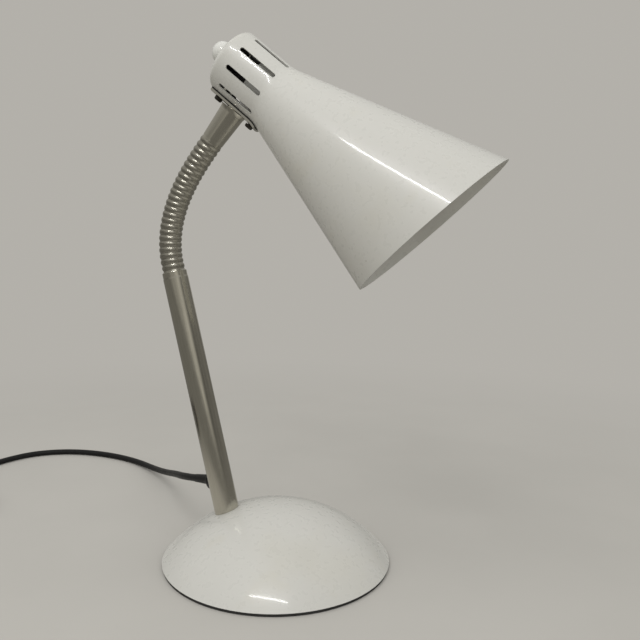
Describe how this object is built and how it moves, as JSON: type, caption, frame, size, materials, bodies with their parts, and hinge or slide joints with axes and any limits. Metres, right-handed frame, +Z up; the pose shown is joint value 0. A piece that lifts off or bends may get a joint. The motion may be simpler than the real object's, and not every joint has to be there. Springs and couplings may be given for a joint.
{
  "type": "desk lamp",
  "caption": "Small desk lamp with a weighted domed base, a leaning steel stem, a flexible ribbed arm and a slotted conical shade.",
  "frame": {"origin": "centre of the base's underside, on the table", "axes": "+Z up; +X towards the side that the head reaches to; the lamp is symmetric about the XZ plane"},
  "size_m": [0.4511, 0.2654, 0.3396],
  "materials": {
    "cream_paint": "gloss paint, slightly yellowed, with fine specks",
    "brushed_steel": "brushed along the tube",
    "plain_steel": "zinc plated",
    "dark_screw": "blackened",
    "cast_iron": "bare casting",
    "black_rubber": "matt",
    "black_pvc": "satin",
    "white_plastic": "gloss moulded",
    "black_plastic": "moulded",
    "brass": "bare"
  },
  "bodies": {
    "root": {"base_pad": "black_rubber", "base_shell": "cream_paint", "base_weight": "cast_iron", "stem_tube": "brushed_steel", "stem_foot_plug": "plain_steel", "stem_stud": "plain_steel", "stem_washer": "plain_steel", "stem_nut": "plain_steel", "cord_grommet": "black_rubber", "stem_lead": "black_pvc", "arm_link_01": "brushed_steel", "arm_lead": "black_pvc", "mains_cord": "black_pvc", "cord_coil": "black_pvc", "plug_body": "black_plastic", "plug_pins": "brass"},
    "link_02": {"arm_link_02": "brushed_steel"},
    "link_03": {"arm_link_03": "brushed_steel"},
    "link_04": {"arm_link_04": "brushed_steel"},
    "link_05": {"arm_link_05": "brushed_steel"},
    "link_06": {"arm_link_06": "brushed_steel"},
    "link_07": {"arm_link_07": "brushed_steel"},
    "link_08": {"arm_link_08": "brushed_steel"},
    "link_09": {"arm_link_09": "brushed_steel"},
    "link_10": {"arm_link_10": "brushed_steel"},
    "link_11": {"arm_link_11": "brushed_steel"},
    "head": {"arm_link_12": "brushed_steel", "upper_ferrule": "brushed_steel", "bracket_plate": "brushed_steel", "bracket_gasket": "black_rubber", "bracket_screws": "dark_screw", "lampholder_carrier": "plain_steel", "shade": "cream_paint", "lampholder_body": "black_plastic", "lampholder_nut": "plain_steel", "lampholder_skirt": "white_plastic", "screw_shell": "brass", "centre_contact": "brass", "switch_housing": "black_plastic", "switch_spring": "plain_steel", "head_lead": "black_pvc"},
    "switch_button": {"switch_button": "white_plastic"}
  },
  "joints": [
    {"name": "arm_bend_01", "type": "hinge", "parent": "root", "child": "link_02", "pos_m": [-0.07581, 0, 0.19774], "axis": [0, 1, 0], "range_deg": [-15, 7], "deforming": ["arm_lead"]},
    {"name": "arm_side_02", "type": "hinge", "parent": "link_02", "child": "link_03", "pos_m": [-0.07659, 0, 0.2053], "axis": [0.9991, 0, 0.0416], "range_deg": [-10, 10], "deforming": ["arm_lead"]},
    {"name": "arm_bend_03", "type": "hinge", "parent": "link_03", "child": "link_04", "pos_m": [-0.07644, 0, 0.21289], "axis": [0, 1, 0], "range_deg": [-15, 7], "deforming": ["arm_lead"]},
    {"name": "arm_side_04", "type": "hinge", "parent": "link_04", "child": "link_05", "pos_m": [-0.07544, 0, 0.22043], "axis": [0.9835, 0, -0.181], "range_deg": [-10, 10], "deforming": ["arm_lead"]},
    {"name": "arm_bend_05", "type": "hinge", "parent": "link_05", "child": "link_06", "pos_m": [-0.07369, 0, 0.22782], "axis": [0, 1, 0], "range_deg": [-15, 7], "deforming": ["arm_lead"]},
    {"name": "arm_side_06", "type": "hinge", "parent": "link_06", "child": "link_07", "pos_m": [-0.07128, 0, 0.23503], "axis": [0.9347, 0, -0.3554], "range_deg": [-10, 10], "deforming": ["arm_lead"]},
    {"name": "arm_bend_07", "type": "hinge", "parent": "link_07", "child": "link_08", "pos_m": [-0.06829, 0, 0.24202], "axis": [0, 1, 0], "range_deg": [-15, 7], "deforming": ["arm_lead"]},
    {"name": "arm_side_08", "type": "hinge", "parent": "link_08", "child": "link_09", "pos_m": [-0.06483, 0, 0.24879], "axis": [0.8764, 0, -0.4816], "range_deg": [-10, 10], "deforming": ["arm_lead"]},
    {"name": "arm_bend_09", "type": "hinge", "parent": "link_09", "child": "link_10", "pos_m": [-0.06098, 0, 0.25534], "axis": [0, 1, 0], "range_deg": [-15, 7], "deforming": ["arm_lead"]},
    {"name": "arm_side_10", "type": "hinge", "parent": "link_10", "child": "link_11", "pos_m": [-0.05681, 0, 0.26169], "axis": [0.8257, 0, -0.5642], "range_deg": [-10, 10], "deforming": ["arm_lead"]},
    {"name": "arm_bend_11", "type": "hinge", "parent": "link_11", "child": "head", "pos_m": [-0.0524, 0, 0.26788], "axis": [0, 1, 0], "range_deg": [-15, 7], "deforming": ["arm_lead"]},
    {"name": "button_press", "type": "slide", "parent": "head", "child": "switch_button", "axis": [0.7727, 0, -0.6347], "range_m": [0, 0.003], "stiffness_N_per_m": 300, "springref_m": -0.004, "deforming": ["switch_spring"]}
  ]
}
